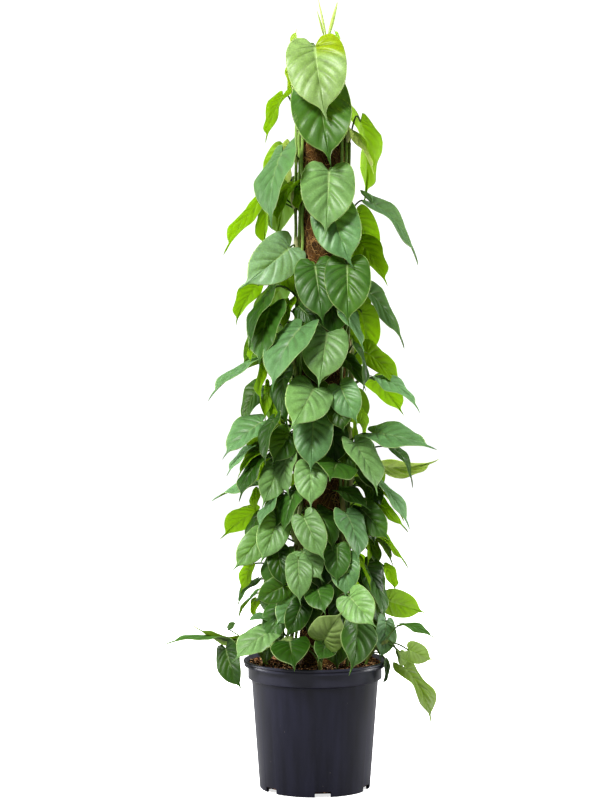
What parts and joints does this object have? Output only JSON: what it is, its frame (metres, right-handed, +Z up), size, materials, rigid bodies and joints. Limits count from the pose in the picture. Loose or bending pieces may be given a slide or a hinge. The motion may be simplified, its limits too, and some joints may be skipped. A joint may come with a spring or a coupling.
{
  "type": "potted heartleaf philodendron",
  "caption": "Climbing heartleaf philodendron on a coir pole: glossy heart-shaped leaves on leafy stems, standing in peat soil in a black nursery pot with drain notches.",
  "frame": {"origin": "centre of the pot's underside, on the ground", "axes": "+Z up along the pot's axis and the pole, -Y towards the front that the picture shows, +X to the right seen from the front"},
  "size_m": [0.461, 0.3046, 1.3155],
  "materials": {
    "pot_plastic": "satin",
    "peat_soil": "matte",
    "tube_plastic": "satin",
    "coir": "matte",
    "leaf": "satin"
  },
  "bodies": {
    "root": {"pot": "pot_plastic", "soil": "peat_soil", "pole_tube": "tube_plastic", "coir_jacket": "coir", "vine_1": "leaf", "vine_2": "leaf", "vine_3": "leaf", "vine_4": "leaf", "vine_5": "leaf", "vine_6": "leaf", "vine_7": "leaf", "vine_8": "leaf", "vine_9": "leaf", "sprig_front": "leaf", "sprig_right": "leaf", "sprig_left": "leaf"}
  },
  "joints": []
}
